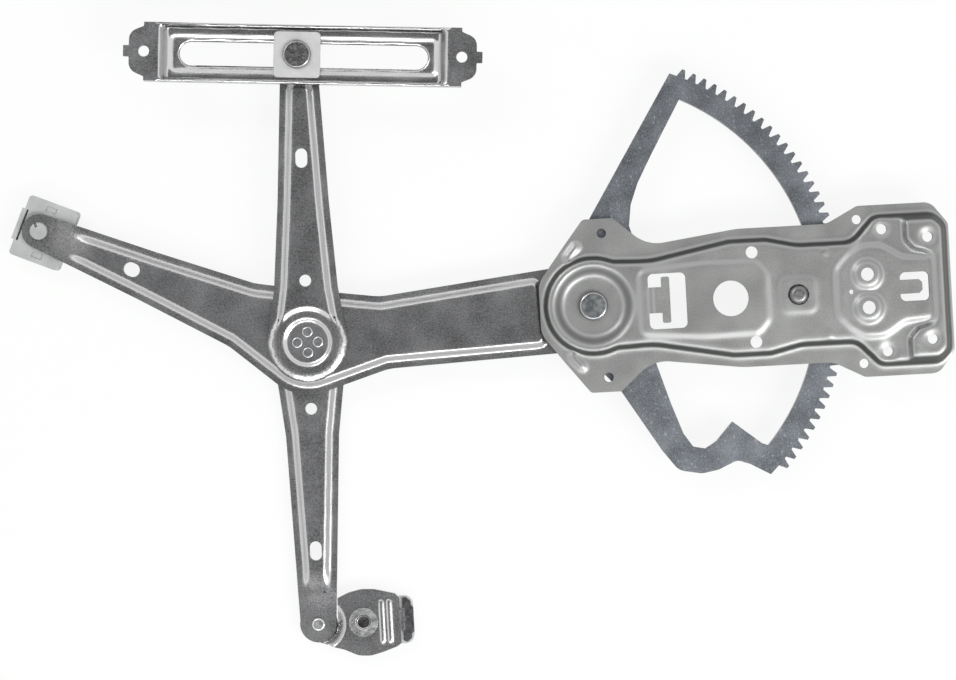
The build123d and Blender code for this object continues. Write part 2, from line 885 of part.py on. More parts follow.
# Headed pin that carries the slide block
with BuildPart() as rail_pin:
    cylinder(rail_pin_flush_r, upper_back - rail_pin_flush_h, upper_back, rail_pin_at)
    cylinder(rail_pin_tail_r, upper_back, upper_front, rail_pin_at)
    cylinder(rail_pin_collar_r, upper_front, upper_front + rail_pin_collar_h, rail_pin_at)
    cylinder(rail_pin_r, upper_front, pin_head_back, rail_pin_at)
    headed(rail_pin_head_r, rail_pin_head_h, pin_head_back, rail_pin_at)
rail_pin.part.label = "rail_pin"

with BuildPart() as slide_block:
    slab(
        block_face(block_size, block_size, block_corner_r),
        block_back, block_sheet, rail_pin_at, rail_direction,
    )
    chamfer(slide_block.faces().sort_by(Axis.Z)[-1].edges(), 0.5)
    slab(
        slot(block_guide, slot_width - 2 * slot_side_gap),
        track_back - face_gap, block_back - track_back + face_gap, rail_pin_at, rail_direction,
    )
    cut_through(disc(rail_pin_r + pin_gap), rail_pin_at)
slide_block.part.label = "slide_block"

with BuildPart() as slide_retainer:
    slab(
        block_face(retainer_size, retainer_size, block_corner_r),
        retainer_back, retainer_sheet, rail_pin_at, rail_direction,
    )
    cut_through(disc(rail_pin_r + pin_gap), rail_pin_at)
slide_retainer.part.label = "slide_retainer"

# Guide rail: a folded tray with raised ears and a slotted track sunk in its floor
ear_top_x = ear_spacing / 2 - ramp_outer
ear_foot_x = ear_spacing / 2 - ramp_inner
ramp_fold = rail_sheet * tan(atan2(ear_rise, ramp_inner - ramp_outer) / 2)
ear_end = ear_spacing / 2 + ear_margin
ear_length = 2 * (ear_end + ear_tab_l)
ear_plan = mirrored_face(
    [
        (ear_length / 2, 0),
        (ear_length / 2, ear_tab_w / 2),
        (ear_end, ear_tab_w / 2),
        (ear_end, ear_shoulder - ear_slope),
        (ear_spacing / 2, ear_shoulder),
        (ear_spacing / 2, rail_width / 2),
        (-ear_spacing / 2, rail_width / 2),
        (-ear_spacing / 2, ear_shoulder),
        (-ear_end, ear_shoulder - ear_slope),
        (-ear_end, ear_tab_w / 2),
        (-ear_length / 2, ear_tab_w / 2),
        (-ear_length / 2, 0),
    ],
    [0.5, 0.5, ear_corner_r, 0.5, 0.3, 0.3, 0.5, ear_corner_r, 0.5, 0.5],
)
with BuildPart() as guide_rail:
    with BuildSketch(upright(rail_centre, rail_direction)) as side_profile:
        with BuildLine():
            Polyline(
                (-ear_length / 2, ear_front),
                (-ear_length / 2, ear_front - rail_sheet),
                (-ear_top_x - ramp_fold, ear_front - rail_sheet),
                (-ear_foot_x - ramp_fold, track_front),
                (ear_foot_x + ramp_fold, track_front),
                (ear_top_x + ramp_fold, ear_front - rail_sheet),
                (ear_length / 2, ear_front - rail_sheet),
                (ear_length / 2, ear_front),
                (ear_top_x, ear_front),
                (ear_foot_x, rail_front),
                (-ear_foot_x, rail_front),
                (-ear_top_x, ear_front),
                close=True,
            )
        make_face()
    extrude(side_profile.sketch, amount=rail_width / 2, both=True)
    slab(ear_plan, 0, reach / 2, rail_centre, rail_direction, mode=Mode.INTERSECT)
    with BuildSketch() as lips:
        with Locations((0, (rail_width - rail_sheet) / 2), (0, (rail_sheet - rail_width) / 2)):
            Rectangle(ear_spacing, rail_sheet)
    slab(lips.sketch, track_front, ear_front - track_front, rail_centre, rail_direction)
    press_down(
        block_face(ear_spacing - 2 * track_start, track_mouth, track_corner_r),
        rail_front, track_depth, rail_sheet, track_lean, rail_centre, rail_direction,
    )
    cut_through(slot(ear_spacing - 2 * slot_end, slot_width), rail_centre, rail_direction)
    with BuildSketch() as ear_holes:
        with Locations((-ear_spacing / 2, 0), (ear_spacing / 2, 0)):
            Circle(ear_hole_d / 2)
    cut_through(ear_holes.sketch, rail_centre, rail_direction)
guide_rail.part.label = "guide_rail"

# Glass shoe, snapped through the end of the lift arm
shoe_bottom = shoe_top - shoe_depth
shoe_middle = (shoe_front - shoe_back) / 2
shoe_length = shoe_front + shoe_back
hook_back = gear_back + face_gap
with BuildPart() as glass_shoe:
    with BuildSketch() as shoe_plan:
        with Locations((shoe_middle, 0)):
            RectangleRounded(shoe_length, 2 * shoe_half, shoe_corner_r)
        with Locations((shoe_front + shoe_strip_out, 0)):
            Rectangle(
                shoe_strip_out + 2 * shoe_slit_w, shoe_slit_l, align=(Align.MAX, Align.CENTER)
            )
        with Locations((shoe_front - shoe_slit_w - 0.4, 0)):
            SlotOverall(shoe_slit_l, shoe_slit_w, rotation=90, mode=Mode.SUBTRACT)
    slab(shoe_plan.sketch, shoe_bottom, shoe_depth, shoe_pin, shoe_direction)
    with BuildSketch() as shoe_marks:
        with Locations((-1.9, -13.0), (-3.2, 13.0)):
            RectangleRounded(shoe_pocket_w, shoe_pocket_h, 0.6)
    slab(
        shoe_marks.sketch, shoe_top - shoe_pocket_depth, shoe_pocket_depth, shoe_pin,
        shoe_direction, mode=Mode.SUBTRACT,
    )
    with BuildSketch() as shoe_cores:
        with Locations((-4.0, -9.5), (-4.0, 9.5)):
            RectangleRounded(shoe_back + 3.0, 10.0, 1.5)
    slab(
        shoe_cores.sketch, shoe_bottom, shoe_depth - shoe_floor, shoe_pin, shoe_direction,
        mode=Mode.SUBTRACT,
    )
    cylinder(shoe_peg_r, shoe_top, hook_back, shoe_pin)
    cylinder(shoe_hook_r, hook_back, hook_back + shoe_hook_h, shoe_pin)
    chamfer(glass_shoe.faces().sort_by(Axis.Z)[-1].edges(), 0.6)
    with BuildSketch() as hook_notch:
        with Locations((shoe_hook_r, 0)):
            Rectangle(5.0, 1.6)
    slab(
        hook_notch.sketch, hook_back, shoe_hook_h, shoe_pin, hook_notch_angle, mode=Mode.SUBTRACT
    )
glass_shoe.part.label = "glass_shoe"

# Glass bracket, riveted to the lower end of the cross arm
with BuildPart() as bracket_rivet:
    cylinder(bracket_rivet_r, disc_front - bracket_sheet - face_gap, lower_front, bracket_pin)
    headed(bracket_rivet_head_r, bracket_rivet_head_h, lower_front, bracket_pin)
    headed(bracket_tail_r, bracket_tail_h, disc_front - bracket_sheet - face_gap, bracket_pin, -1)
bracket_rivet.part.label = "bracket_rivet"

with BuildPart() as bracket_washer:
    ring(
        bracket_rivet_r + pin_gap, bracket_washer_r, disc_front + face_gap, bracket_washer_h,
        bracket_pin,
    )
bracket_washer.part.label = "bracket_washer"

bracket_lean = degrees(atan2(bracket_step_r - bracket_disc_r, bracket_rise))
with BuildSketch() as bracket_outline:
    with BuildLine():
        FilletPolyline(
            (bracket_shoulder, 0.0),
            (bracket_shoulder + 0.5, 13.9),
            (17.4, 16.7),
            (24.5, bracket_half),
            (31.6, bracket_half - 0.4),
            (bracket_end_x - 2.0, bracket_end_half + 1.2),
            (bracket_end_x, bracket_end_half - 1.5),
            (bracket_end_x, -bracket_end_half + 1.0),
            (bracket_end_x - 2.4, -bracket_end_half - 0.7),
            (34.5, -bracket_half + 1.2),
            (27.9, -bracket_half - 0.4),
            (21.3, -bracket_half),
            (13.5, -14.5),
            (7.5, -12.8),
            (0.0, -bracket_disc_r),
            (0.0, 0.0),
            close=True,
            radius=[0.1, 0.5, 12, 12, 12, 2, 1, 1, 2, 12, 10, 10, 10, 10, 0.1, 0.1],
        )
    make_face()
    Circle(bracket_disc_r)
with BuildPart() as glass_bracket:
    slab(bracket_outline.sketch, bracket_back, bracket_sheet, bracket_pin)
    press_down(
        disc(bracket_step_r), bracket_front, bracket_rise, bracket_sheet, bracket_lean, bracket_pin
    )
    slab(bracket_outline.sketch, -reach, reach, bracket_pin, mode=Mode.INTERSECT)
    with BuildSketch(level(bracket_front, bracket_pin)) as ribs:
        with Locations((rib_x, 0), (rib_x + rib_step, 0)):
            SlotOverall(rib_l, rib_w, rotation=90)
    extrude(ribs.sketch, amount=rib_rise, taper=plate_lean)
    with BuildSketch(upright((bracket_pin[0], bracket_pin[1]))) as roll:
        with Locations((bracket_end_x + 0.8, bracket_front - bracket_sheet + roll_r)):
            Circle(roll_r)
    extrude(roll.sketch, amount=roll_l / 2, both=True)
    cut_through(disc(bracket_rivet_r + pin_gap), bracket_pin)
    cut_through(disc(nut_barrel_r + pin_gap), (bracket_pin[0] + bracket_nut_x, bracket_pin[1]))
glass_bracket.part.label = "glass_bracket"

nut_at = (bracket_pin[0] + bracket_nut_x, bracket_pin[1])
with BuildPart() as nut_insert:
    cylinder(nut_flange_r, bracket_front, bracket_front + nut_front, nut_at)
    cylinder(nut_barrel_r, bracket_back - nut_depth, bracket_front, nut_at)
    cut_through(disc(nut_hole_r), nut_at)
    with BuildSketch(level(bracket_front + nut_front, nut_at)) as nut_mouth:
        Circle(nut_mouth_r)
    extrude(nut_mouth.sketch, amount=-nut_mouth_depth, taper=40, mode=Mode.SUBTRACT)
nut_insert.part.label = "nut_insert"

# Toothed clip on a plastic pad that grips the glass
with BuildPart() as glass_pad:
    with BuildSketch(level(bracket_back - pad_sheet, bracket_pin)) as pad_plan:
        with Locations(((pad_start + clip_end) / 2, 0)):
            Rectangle(clip_end - pad_start, 2 * pad_half)
        fillet(pad_plan.vertices().group_by(Axis.X)[-1], pad_corner_r)
        fillet(pad_plan.vertices().group_by(Axis.X)[0], 1.0)
    extrude(pad_plan.sketch, amount=pad_sheet)
glass_pad.part.label = "glass_pad"

with BuildPart() as retaining_clip:
    with BuildSketch(level(bracket_back, bracket_pin)) as clip_plan:
        with BuildLine():
            Polyline(
                (clip_start, -11.5),
                (clip_end - 4.0, -12.2),
                (clip_end - 1.3, -9.8),
                (clip_end - 1.3, -7.6),
                (clip_end, -6.6),
                (clip_end, 6.9),
                (clip_end - 1.3, 7.9),
                (clip_end - 1.3, 10.2),
                (clip_end - 3.7, 12.4),
                (clip_start, 12.4),
                close=True,
            )
        make_face()
        with Locations((clip_start - 1.0, 0)):
            Rectangle(2.2, roll_l + 0.8, align=(Align.MIN, Align.CENTER), mode=Mode.SUBTRACT)
    extrude(clip_plan.sketch, amount=clip_sheet)
retaining_clip.part.label = "retaining_clip"

os.makedirs("parts", exist_ok=True)
export_step(base_plate.part, "parts/base_plate.step")
export_step(stop_stud.part, "parts/stop_stud.step")
export_step(main_pivot.part, "parts/main_pivot.step")
export_step(pivot_washer.part, "parts/pivot_washer.step")
export_step(spring_washer.part, "parts/spring_washer.step")
export_step(sector_gear.part, "parts/sector_gear.step")
export_step(lift_arm.part, "parts/lift_arm.step")
export_step(hub_rivets.part, "parts/hub_rivets.step")
export_step(upper_arm.part, "parts/upper_arm.step")
export_step(lower_arm.part, "parts/lower_arm.step")
export_step(cross_bush.part, "parts/cross_bush.step")
export_step(cross_ring.part, "parts/cross_ring.step")
export_step(cross_rivets.part, "parts/cross_rivets.step")
export_step(rail_pin.part, "parts/rail_pin.step")
export_step(slide_block.part, "parts/slide_block.step")
export_step(slide_retainer.part, "parts/slide_retainer.step")
export_step(guide_rail.part, "parts/guide_rail.step")
export_step(glass_shoe.part, "parts/glass_shoe.step")
export_step(bracket_rivet.part, "parts/bracket_rivet.step")
export_step(bracket_washer.part, "parts/bracket_washer.step")
export_step(glass_bracket.part, "parts/glass_bracket.step")
export_step(nut_insert.part, "parts/nut_insert.step")
export_step(glass_pad.part, "parts/glass_pad.step")
export_step(retaining_clip.part, "parts/retaining_clip.step")
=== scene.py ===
import json
from math import ceil, radians

import bmesh
import bpy
import numpy as np
from mathutils import Euler, Matrix, Vector
from mathutils.bvhtree import BVHTree

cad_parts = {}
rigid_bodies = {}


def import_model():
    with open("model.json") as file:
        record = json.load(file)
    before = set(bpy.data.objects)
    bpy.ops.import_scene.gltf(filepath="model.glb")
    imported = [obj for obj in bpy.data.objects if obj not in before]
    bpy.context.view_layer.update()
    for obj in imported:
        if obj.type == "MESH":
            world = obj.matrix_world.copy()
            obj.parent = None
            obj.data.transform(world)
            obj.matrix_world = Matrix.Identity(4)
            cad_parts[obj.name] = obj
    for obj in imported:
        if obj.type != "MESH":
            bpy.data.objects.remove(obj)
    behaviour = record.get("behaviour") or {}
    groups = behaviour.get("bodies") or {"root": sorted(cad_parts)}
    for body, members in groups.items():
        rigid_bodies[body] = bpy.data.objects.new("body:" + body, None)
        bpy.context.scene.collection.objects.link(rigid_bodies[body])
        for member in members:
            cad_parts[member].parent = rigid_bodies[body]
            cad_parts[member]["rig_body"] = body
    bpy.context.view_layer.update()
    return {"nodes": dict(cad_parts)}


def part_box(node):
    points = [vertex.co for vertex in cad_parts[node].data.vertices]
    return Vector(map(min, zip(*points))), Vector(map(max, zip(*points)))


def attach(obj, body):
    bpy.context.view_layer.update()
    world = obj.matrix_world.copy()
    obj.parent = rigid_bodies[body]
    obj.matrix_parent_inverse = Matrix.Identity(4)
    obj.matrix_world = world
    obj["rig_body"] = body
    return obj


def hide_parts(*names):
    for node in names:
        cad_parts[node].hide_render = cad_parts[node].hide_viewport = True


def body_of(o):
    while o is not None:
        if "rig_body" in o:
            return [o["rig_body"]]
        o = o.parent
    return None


# Crossed-arm window regulator, seen from straight above on a white table.
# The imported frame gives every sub-part. This file draws the pressed sheets with soft
# bends, rounds heads and edges, and adds the insert's floor, finishes, light and camera.

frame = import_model()
nodes = frame["nodes"]
print("frame loaded:", len(nodes), "nodes")


# Finishes. Every size is in metres, on object coordinates.
surface = {
    "grainDetail": 4, "cloudDetail": 3, "fineDetail": 2, "fleckStretch": (1, 0.5, 1),
    "patternRange": (0.36, 0.64), "fleckRange": (0.62, 0.74),  # parts of the noise that show
    "bumpDepth": 0.0001, "glowReach": 0.004,
}
mixSockets = {"factor": 0, "numbers": (2, 3), "colours": (6, 7), "number": 0, "colour": 2}


def newMaterial(name):
    material = bpy.data.materials.new(name)
    material.use_nodes = True
    nodeTree = material.node_tree
    nodeTree.nodes.clear()
    output = nodeTree.nodes.new("ShaderNodeOutputMaterial")
    shader = nodeTree.nodes.new("ShaderNodeBsdfPrincipled")
    nodeTree.links.new(shader.outputs["BSDF"], output.inputs["Surface"])
    return material, nodeTree, shader


def noise(nodeTree, size, detail, stretch=(1, 1, 1)):
    coordinates = nodeTree.nodes.new("ShaderNodeTexCoord")
    mapping = nodeTree.nodes.new("ShaderNodeMapping")
    mapping.inputs["Scale"].default_value = stretch
    texture = nodeTree.nodes.new("ShaderNodeTexNoise")
    texture.inputs["Scale"].default_value = 1 / size
    texture.inputs["Detail"].default_value = detail
    nodeTree.links.new(coordinates.outputs["Object"], mapping.inputs["Vector"])
    nodeTree.links.new(mapping.outputs["Vector"], texture.inputs["Vector"])
    return texture.outputs["Fac"]


def spread(nodeTree, value, low, high, start=0.3, end=0.7):
    # Stretch a pattern from the range start to end to the range low to high
    remap = nodeTree.nodes.new("ShaderNodeMapRange")
    remap.inputs["From Min"].default_value = start
    remap.inputs["From Max"].default_value = end
    remap.inputs["To Min"].default_value = low
    remap.inputs["To Max"].default_value = high
    nodeTree.links.new(value, remap.inputs["Value"])
    return remap.outputs["Result"]


def sums(nodeTree, operation, first, second, third=None):
    node = nodeTree.nodes.new("ShaderNodeMath")
    node.operation = operation
    for index, value in enumerate((first, second, third)):
        if value is None:
            continue
        if isinstance(value, (int, float)):
            node.inputs[index].default_value = value
        else:
            nodeTree.links.new(value, node.inputs[index])
    return node.outputs[0]


def tint(nodeTree, value, dark, light):
    mix = nodeTree.nodes.new("ShaderNodeMix")
    mix.data_type = "RGBA"
    for index, colour in zip(mixSockets["colours"], (dark, light)):
        if isinstance(colour, tuple):
            mix.inputs[index].default_value = (*colour, 1)
        else:
            nodeTree.links.new(colour, mix.inputs[index])
    nodeTree.links.new(value, mix.inputs[mixSockets["factor"]])
    return mix.outputs[mixSockets["colour"]]


def bumpFrom(nodeTree, shader, pattern, strength):
    bump = nodeTree.nodes.new("ShaderNodeBump")
    bump.inputs["Strength"].default_value = strength
    bump.inputs["Distance"].default_value = surface["bumpDepth"]
    nodeTree.links.new(pattern, bump.inputs["Height"])
    nodeTree.links.new(bump.outputs["Normal"], shader.inputs["Normal"])


def platedSteel(name, finish):
    # Plated sheet: mottled flats, with light painted by slope: a painted highlight tone on the
    # bends and a painted tone of shade or sheen, by finish, on the drawn walls
    material, nodeTree, shader = newMaterial(name)
    grain = noise(nodeTree, finish["grain"], surface["grainDetail"])
    cloud = noise(nodeTree, finish["cloud"], surface["cloudDetail"])
    pattern = sums(
        nodeTree, "MULTIPLY_ADD", grain, finish["grainShare"],
        sums(nodeTree, "MULTIPLY", cloud, 1 - finish["grainShare"]),
    )
    mottle = spread(nodeTree, pattern, 0, 1, *surface["patternRange"])
    colour = tint(nodeTree, mottle, finish["dark"], finish["light"])
    fleck = noise(nodeTree, finish["fleck"], surface["fineDetail"], surface["fleckStretch"])
    flecks = spread(nodeTree, fleck, 0, finish["fleckShare"], *surface["fleckRange"])
    # Light flecks in the plating, coloured with the bend's tone
    colour = tint(nodeTree, flecks, colour, finish["bend"])
    # Light painted by slope: the upright share of the shading normal sets where the painted bend
    # highlight and the painted wall tone fall
    geometry = nodeTree.nodes.new("ShaderNodeNewGeometry")
    split = nodeTree.nodes.new("ShaderNodeSeparateXYZ")
    nodeTree.links.new(geometry.outputs["Normal"], split.inputs[0])
    upright = sums(nodeTree, "ABSOLUTE", split.outputs["Z"], 0)
    bendStart, bendFull, wallStart, wallFull = finish["slopes"]
    bendPaintedHighlight = spread(nodeTree, upright, 1, 0, bendFull, bendStart)
    wallPaintedShadeOrSheen = spread(nodeTree, upright, 1, 0, wallFull, wallStart)
    # Painted highlight: the bends get a lighter tone
    colour = tint(nodeTree, bendPaintedHighlight, colour, finish["bend"])
    # Painted tone on the steep walls: painted shade on the plate, stud and nut, painted sheen on
    # the arms and pin
    nodeTree.links.new(tint(nodeTree, wallPaintedShadeOrSheen, colour, finish["drawn"]), shader.inputs["Base Color"])
    rough = spread(nodeTree, pattern, *finish["rough"])
    smoother = nodeTree.nodes.new("ShaderNodeMix")
    flatSocket, bentSocket = mixSockets["numbers"]
    smoother.inputs[bentSocket].default_value = finish["drawnRough"]
    nodeTree.links.new(bendPaintedHighlight, smoother.inputs[mixSockets["factor"]])
    nodeTree.links.new(rough, smoother.inputs[flatSocket])
    nodeTree.links.new(smoother.outputs[mixSockets["number"]], shader.inputs["Roughness"])
    shader.inputs["Metallic"].default_value = finish["metallic"]
    bumpFrom(nodeTree, shader, pattern, finish["bump"])
    return material


def mouldedPlastic(name, finish):
    material, nodeTree, shader = newMaterial(name)
    cloud = noise(nodeTree, finish["cloud"], surface["cloudDetail"])
    colour = tint(nodeTree, spread(nodeTree, cloud, 0, 1), finish["dark"], finish["light"])
    nodeTree.links.new(colour, shader.inputs["Base Color"])
    rough = spread(nodeTree, cloud, *finish["rough"])
    nodeTree.links.new(rough, shader.inputs["Roughness"])
    shader.inputs["Subsurface Weight"].default_value = finish["glow"]
    shader.inputs["Subsurface Radius"].default_value = (surface["glowReach"],) * 3
    shader.inputs["Subsurface Scale"].default_value = 1.0
    grain = noise(nodeTree, finish["grain"], surface["fineDetail"])
    bumpFrom(nodeTree, shader, grain, finish["bump"])
    return material


# bend: a painted highlight tone on the bends, also the colour of the flecks; drawn: a painted
# tone on the steep drawn walls, painted shade where darker than the flats and painted sheen where
# lighter; slopes: the upright share of the normal where the bend's painted highlight starts and
# is full, then the same for the walls' painted tone
finishes = {
    "plateZinc": dict(
        dark=(0.235, 0.238, 0.232), light=(0.335, 0.34, 0.332), bend=(0.37, 0.375, 0.37),
        drawn=(0.075, 0.078, 0.075), slopes=(0.995, 0.95, 0.90, 0.66), metallic=0.6,
        rough=(0.40, 0.52), drawnRough=0.40, grain=0.0007, cloud=0.02, grainShare=0.5,
        fleck=0.003, fleckShare=0.0, bump=0.2,
    ),
    "armZinc": dict(
        dark=(0.17, 0.17, 0.173), light=(0.375, 0.375, 0.38), bend=(0.68, 0.68, 0.68),
        drawn=(0.38, 0.38, 0.38), slopes=(0.967, 0.92, 0.85, 0.72), metallic=0.9,
        rough=(0.24, 0.38), drawnRough=0.2, grain=0.0008, cloud=0.02, grainShare=0.6,
        fleck=0.0010, fleckShare=0.25, bump=0.3,
    ),
    "gearSteel": dict(
        dark=(0.12, 0.13, 0.143), light=(0.26, 0.277, 0.302), bend=(0.60, 0.61, 0.63),
        drawn=(0.20, 0.21, 0.22), slopes=(0.99, 0.93, 0.8, 0.5), metallic=0.8,
        rough=(0.34, 0.54), drawnRough=0.3, grain=0.0008, cloud=0.014, grainShare=0.6,
        fleck=0.0011, fleckShare=0.45, bump=0.3,
    ),
    "rivetSteel": dict(
        dark=(0.17, 0.185, 0.19), light=(0.36, 0.38, 0.385), bend=(0.50, 0.50, 0.50),
        drawn=(0.25, 0.25, 0.25), slopes=(0.98, 0.88, 0.75, 0.4), metallic=0.9,
        rough=(0.28, 0.42), drawnRough=0.2, grain=0.0016, cloud=0.004, grainShare=0.5,
        fleck=0.0012, fleckShare=0.4, bump=0.3,
    ),
    "studSteel": dict(
        dark=(0.16, 0.16, 0.16), light=(0.34, 0.34, 0.34), bend=(0.26, 0.26, 0.26),
        drawn=(0.06, 0.06, 0.06), slopes=(0.97, 0.85, 0.8, 0.5), metallic=0.8,
        rough=(0.30, 0.42), drawnRough=0.3, grain=0.0016, cloud=0.004, grainShare=0.5,
        fleck=0.0012, fleckShare=0.6, bump=0.3,
    ),
    "pinSteel": dict(
        dark=(0.06, 0.06, 0.06), light=(0.27, 0.27, 0.27), bend=(0.50, 0.50, 0.50),
        drawn=(0.25, 0.25, 0.25), slopes=(0.98, 0.88, 0.75, 0.4), metallic=0.85,
        rough=(0.30, 0.42), drawnRough=0.25, grain=0.0011, cloud=0.003, grainShare=0.6,
        fleck=0.0009, fleckShare=0.4, bump=0.4,
    ),
    "washerSteel": dict(
        dark=(0.24, 0.245, 0.25), light=(0.40, 0.405, 0.41), bend=(0.7, 0.7, 0.7),
        drawn=(0.3, 0.3, 0.3), slopes=(0.99, 0.92, 0.75, 0.4), metallic=0.9,
        rough=(0.30, 0.44), drawnRough=0.25, grain=0.0009, cloud=0.004, grainShare=0.5,
        fleck=0.001, fleckShare=0.2, bump=0.2,
    ),
    "nutSteel": dict(
        dark=(0.35, 0.35, 0.35), light=(0.75, 0.75, 0.75), bend=(0.9, 0.9, 0.9),
        drawn=(0.3, 0.3, 0.3), slopes=(0.99, 0.92, 0.75, 0.4), metallic=0.9,
        rough=(0.22, 0.34), drawnRough=0.2, grain=0.0014, cloud=0.003, grainShare=0.5,
        fleck=0.0012, fleckShare=0.3, bump=0.3,
    ),
    "clipSteel": dict(
        dark=(0.045, 0.045, 0.05), light=(0.13, 0.13, 0.135), bend=(0.3, 0.3, 0.3),
        drawn=(0.1, 0.1, 0.1), slopes=(0.99, 0.92, 0.75, 0.4), metallic=0.8,
        rough=(0.35, 0.5), drawnRough=0.3, grain=0.0009, cloud=0.003, grainShare=0.5,
        fleck=0.001, fleckShare=0.1, bump=0.2,
    ),
}
plastics = {
    "sliderPlastic": dict(
        dark=(0.46, 0.465, 0.46), light=(0.55, 0.555, 0.55), rough=(0.34, 0.46), glow=0.1,
        cloud=0.01, grain=0.0004, bump=0.08,
    ),
    "shoePlastic": dict(
        dark=(0.36, 0.365, 0.365), light=(0.44, 0.445, 0.445), rough=(0.42, 0.55), glow=0.1,
        cloud=0.01, grain=0.0004, bump=0.1,
    ),
}
materials = {name: platedSteel(name, finish) for name, finish in finishes.items()}
materials.update({name: mouldedPlastic(name, finish) for name, finish in plastics.items()})
print("finishes ready:", len(materials))


# Pressed sheets: the frame's crisp folds redrawn with soft bends
drawing = {
    "sameSpot": 0.000002, "cutTolerance": 0.00001, "cutMerge": 0.00003,  # in metres
    "margin": 1, "rayStart": 1, "noSkin": 99.0,  # grid points, and heights past any part
    "bendReach": 2, "fadeRise": 1.5, "leastShare": 1e-6,
    "skinLean": 0.2, "flatLean": 0.3,  # upright share of a face normal on a skin
}


def mergedCopy(nodeName):
    shape = bmesh.new()
    shape.from_mesh(nodes[nodeName].data)
    bmesh.ops.remove_doubles(shape, verts=shape.verts, dist=drawing["sameSpot"])
    return shape


def placePiece(shape, nodeName, finishName):
    # Keep the shape within its own solid's box, then give it body and finish
    lowest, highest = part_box(nodeName)
    for vert in shape.verts:
        vert.co = [min(max(vert.co[axis], lowest[axis]), highest[axis]) for axis in range(3)]
    mesh = bpy.data.meshes.new(nodeName + "Drawn")
    shape.to_mesh(mesh)
    shape.free()
    piece = bpy.data.objects.new(nodeName + "Drawn", mesh)
    bpy.context.scene.collection.objects.link(piece)
    mesh.materials.append(materials[finishName])
    for polygon in mesh.polygons:
        polygon.use_smooth = True
    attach(piece, body_of(nodes[nodeName])[0])
    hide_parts(nodeName)
    return piece


def skinHeights(tree, low, high, step, side):
    # Heights of the sheet's upper or lower skin on a grid, seen along Z
    margin = drawing["margin"]
    columns = int(ceil((high.x - low.x) / step)) + 1 + 2 * margin
    rows = int(ceil((high.y - low.y) / step)) + 1 + 2 * margin
    heights = np.full((rows, columns), np.nan)
    startZ = high.z + drawing["rayStart"] if side > 0 else low.z - drawing["rayStart"]
    for row in range(rows):
        for column in range(columns):
            startX, startY = low.x + (column - margin) * step, low.y + (row - margin) * step
            start = Vector((startX, startY, startZ))
            hit = tree.ray_cast(start, Vector((0, 0, -side)))[0]
            if hit is not None:
                heights[row, column] = hit.z
    return heights


def softened(heights, step, bend, jump):
    # Weighted mean of the heights near each point, leaving out steps above the given
    # jump, and how near each point lies to the sheet's edge: 0 inside, 1 on the edge,
    # where half of the full weight is missing
    farthest = drawing["bendReach"] * bend
    reach = int(ceil(farthest / step))
    filled = np.nan_to_num(heights, nan=drawing["noSkin"])
    padded = np.pad(filled, reach, constant_values=drawing["noSkin"])
    total = np.zeros_like(filled)
    weights = np.zeros_like(filled)
    fullWeight = 0.0
    rows, columns = filled.shape
    for dy in range(-reach, reach + 1):
        for dx in range(-reach, reach + 1):
            distance = (dx * dx + dy * dy) * step * step
            if distance > farthest * farthest:
                continue
            near = padded[reach + dy:reach + dy + rows, reach + dx:reach + dx + columns]
            share = np.exp(-distance / (bend * bend))
            weight = share * (np.abs(near - filled) < jump)
            total += weight * near
            weights += weight
            fullWeight += share
    return total / weights, np.clip(2 - 2 * weights / fullWeight, 0, 1)


def fadedOut(raw, smooth, low, step, jump, fades):
    # A pressed bead runs out gently round each given centre
    for x, y, radius, bend in fades:
        column = int((x - low.x) / step) + drawing["margin"]
        row = int((y - low.y) / step) + drawing["margin"]
        reach = int((radius + drawing["bendReach"] * bend) / step)
        window = (
            slice(max(row - reach, 0), row + reach + 1),
            slice(max(column - reach, 0), column + reach + 1),
        )
        wide = softened(raw[window], step, bend, jump)[0]
        rows, columns = np.indices(raw.shape)
        away = np.hypot(rows[window] - row, columns[window] - column) * step
        share = np.clip(drawing["fadeRise"] - drawing["fadeRise"] * away / radius, 0, 1)
        share = share * share * (3 - 2 * share)
        smooth[window] += share * (wide - smooth[window])
    return smooth


def slopeOf(raw, smooth, step, jump, axis):
    # Slope of the softened skin along one axis, one-sided at its edges
    total, count = np.zeros_like(smooth), np.zeros_like(smooth)
    for way in (1, -1):
        nearRaw, near = np.roll(raw, -way, axis), np.roll(smooth, -way, axis)
        joined = np.abs(nearRaw - raw) < jump
        total += np.where(joined, way * (near - smooth) / step, 0)
        count += joined
    return total / np.maximum(count, 1)


def readSkin(raw, fields, low, step, points, jump):
    # Mean of each field at the points, from the grid points on their own level
    place = (points[:, :2] - np.array(low)[:2]) / step + drawing["margin"]
    cell = place.astype(int)
    part = place - cell
    total = np.zeros((len(points), len(fields)))
    weights = np.zeros(len(points))
    for dy in (0, 1):
        for dx in (0, 1):
            spot = (cell[:, 1] + dy, cell[:, 0] + dx)
            share = np.abs(1 - dx - part[:, 0]) * np.abs(1 - dy - part[:, 1])
            share = share + drawing["leastShare"]
            share = share * (np.abs(raw[spot] - points[:, 2]) < jump)
            weights += share
            for index, field in enumerate(fields):
                total[:, index] += share * field[spot]
    found = weights > 0
    return total / np.where(found, weights, 1)[:, None], found


def gridCuts(shape, low, high, cell):
    # Cut every face along a grid, so that the skins have vertices to move
    for axis in (0, 1):
        count = int((high[axis] - low[axis]) / cell)
        normal = Vector((1 - axis, axis, 0))
        for index in range(1, count + 1):
            bmesh.ops.bisect_plane(
                shape, geom=shape.verts[:] + shape.edges[:] + shape.faces[:],
                dist=drawing["cutTolerance"],
                plane_co=low + normal * (index * cell), plane_no=normal,
            )


def rolledEdge(raw, step, press):
    # How far each point sinks where the sheet's edge rolls down, within the reach
    nearEdge = softened(raw, step, press["rollWidth"], press["jump"])[1]
    rows, columns = np.indices(raw.shape)
    away = np.hypot(rows - raw.shape[0] / 2, columns - raw.shape[1] / 2) * step
    within = np.clip((press["rollReach"] - away) / press["rollWidth"], 0, 1)
    return press["roll"] * nearEdge * nearEdge * within


